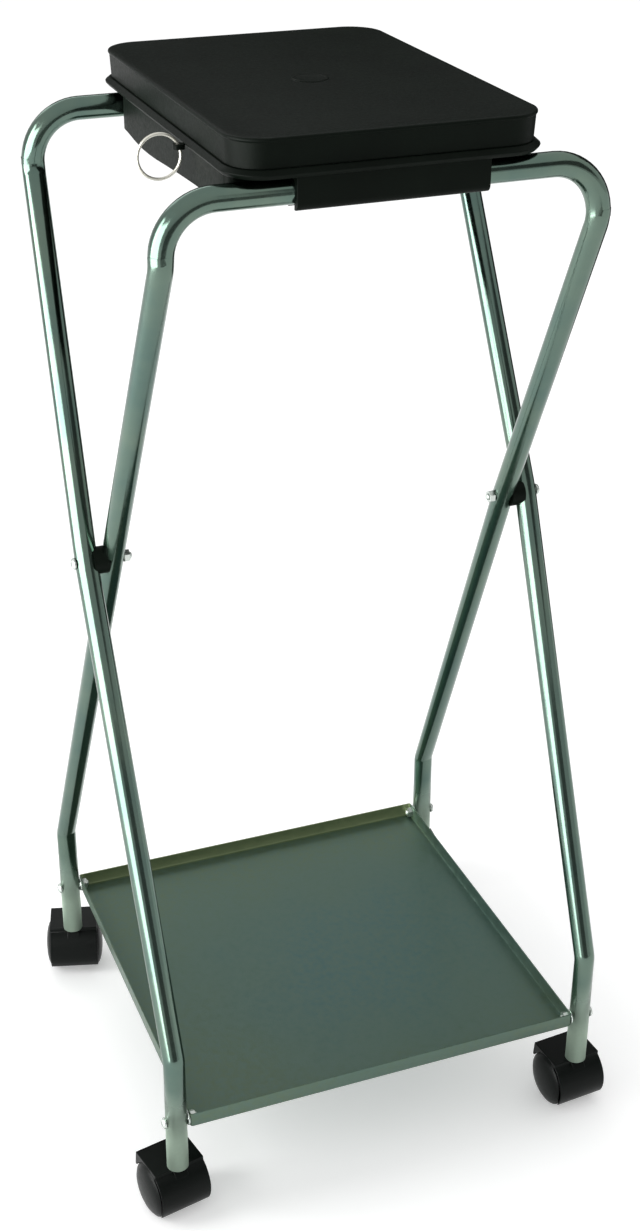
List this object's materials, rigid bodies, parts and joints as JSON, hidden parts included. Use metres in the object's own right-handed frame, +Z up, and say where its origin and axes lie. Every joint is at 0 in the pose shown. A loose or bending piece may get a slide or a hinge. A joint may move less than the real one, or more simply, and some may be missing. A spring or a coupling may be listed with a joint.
{
  "type": "bag holder",
  "caption": "Wheeled bin bag holder: crossed zinc-plated tube frames on castors, a sheet tray, and a black collar with a hinged lid and a pull ring.",
  "frame": {"origin": "on the floor, midway between the four feet", "axes": "+Z up; +X to the holder's right as seen from its front; the front is -Y and the lid's hinge is at +Y"},
  "size_m": [0.4728, 0.4395, 0.973],
  "materials": {
    "tube_zinc": "bright zinc plating with a blue-green tint",
    "tray_zinc": "passivated zinc sheet, olive to blue-green",
    "fastener_zinc": "plated",
    "black_plastic": "moulded, satin",
    "castor_plastic": "moulded nylon, semi-gloss",
    "ring_wire": "dull nickel"
  },
  "bodies": {
    "stand": {"frame_front_tube": "tube_zinc", "frame_back_tube": "tube_zinc", "pivot_bolts": "fastener_zinc", "pivot_nuts": "fastener_zinc", "pivot_saddles": "black_plastic", "tray": "tray_zinc", "tray_bolts": "fastener_zinc", "tray_nuts": "fastener_zinc", "tray_washers": "fastener_zinc", "bag_collar": "black_plastic", "lid_hinge_pin": "fastener_zinc", "castor_sleeves": "castor_plastic"},
    "lid": {"lid": "black_plastic"},
    "ring": {"pull_ring": "ring_wire"},
    "castor_fl": {"castor_fl_stem": "fastener_zinc", "castor_fl_hood": "castor_plastic", "castor_fl_axle": "fastener_zinc"},
    "wheel_fl_left": {"castor_fl_wheel_left": "castor_plastic"},
    "wheel_fl_right": {"castor_fl_wheel_right": "castor_plastic"},
    "castor_fr": {"castor_fr_stem": "fastener_zinc", "castor_fr_hood": "castor_plastic", "castor_fr_axle": "fastener_zinc"},
    "wheel_fr_left": {"castor_fr_wheel_left": "castor_plastic"},
    "wheel_fr_right": {"castor_fr_wheel_right": "castor_plastic"},
    "castor_bl": {"castor_bl_stem": "fastener_zinc", "castor_bl_hood": "castor_plastic", "castor_bl_axle": "fastener_zinc"},
    "wheel_bl_left": {"castor_bl_wheel_left": "castor_plastic"},
    "wheel_bl_right": {"castor_bl_wheel_right": "castor_plastic"},
    "castor_br": {"castor_br_stem": "fastener_zinc", "castor_br_hood": "castor_plastic", "castor_br_axle": "fastener_zinc"},
    "wheel_br_left": {"castor_br_wheel_left": "castor_plastic"},
    "wheel_br_right": {"castor_br_wheel_right": "castor_plastic"}
  },
  "joints": [
    {"name": "lid_hinge", "type": "hinge", "parent": "stand", "child": "lid", "pos_m": [0, 0.2015, 0.9485], "axis": [-1, 0, 0], "range_deg": [0, 110]},
    {"name": "ring_swing", "type": "hinge", "parent": "stand", "child": "ring", "pos_m": [-0.132, -0.053, 0.9438], "axis": [-0.3746, 0, 0.9272], "range_deg": [-75, 75]},
    {"name": "castor_fl_swivel", "type": "hinge", "parent": "stand", "child": "castor_fl", "pos_m": [-0.2035, -0.1874, 0.07], "axis": [0, 0, 1], "continuous": true},
    {"name": "wheel_fl_left_spin", "type": "hinge", "parent": "castor_fl", "child": "wheel_fl_left", "pos_m": [-0.20566, -0.17661, 0.026], "axis": [0.9806, 0.1959, 0], "continuous": true},
    {"name": "wheel_fl_right_spin", "type": "hinge", "parent": "castor_fl", "child": "wheel_fl_right", "pos_m": [-0.20566, -0.17661, 0.026], "axis": [0.9806, 0.1959, 0], "continuous": true},
    {"name": "castor_fr_swivel", "type": "hinge", "parent": "stand", "child": "castor_fr", "pos_m": [0.2035, -0.1874, 0.07], "axis": [0, 0, 1], "continuous": true},
    {"name": "wheel_fr_left_spin", "type": "hinge", "parent": "castor_fr", "child": "wheel_fr_left", "pos_m": [0.20256, -0.17644, 0.026], "axis": [0.9963, 0.0854, 0], "continuous": true},
    {"name": "wheel_fr_right_spin", "type": "hinge", "parent": "castor_fr", "child": "wheel_fr_right", "pos_m": [0.20256, -0.17644, 0.026], "axis": [0.9963, 0.0854, 0], "continuous": true},
    {"name": "castor_bl_swivel", "type": "hinge", "parent": "stand", "child": "castor_bl", "pos_m": [-0.2035, 0.1874, 0.07], "axis": [0, 0, 1], "continuous": true},
    {"name": "wheel_bl_left_spin", "type": "hinge", "parent": "castor_bl", "child": "wheel_bl_left", "pos_m": [-0.20041, 0.19796, 0.026], "axis": [0.9598, -0.2807, 0], "continuous": true},
    {"name": "wheel_bl_right_spin", "type": "hinge", "parent": "castor_bl", "child": "wheel_bl_right", "pos_m": [-0.20041, 0.19796, 0.026], "axis": [0.9598, -0.2807, 0], "continuous": true},
    {"name": "castor_br_swivel", "type": "hinge", "parent": "stand", "child": "castor_br", "pos_m": [0.2035, 0.1874, 0.07], "axis": [0, 0, 1], "continuous": true},
    {"name": "wheel_br_left_spin", "type": "hinge", "parent": "castor_br", "child": "wheel_br_left", "pos_m": [0.20446, 0.19836, 0.026], "axis": [0.9962, -0.0872, 0], "continuous": true},
    {"name": "wheel_br_right_spin", "type": "hinge", "parent": "castor_br", "child": "wheel_br_right", "pos_m": [0.20446, 0.19836, 0.026], "axis": [0.9962, -0.0872, 0], "continuous": true}
  ]
}
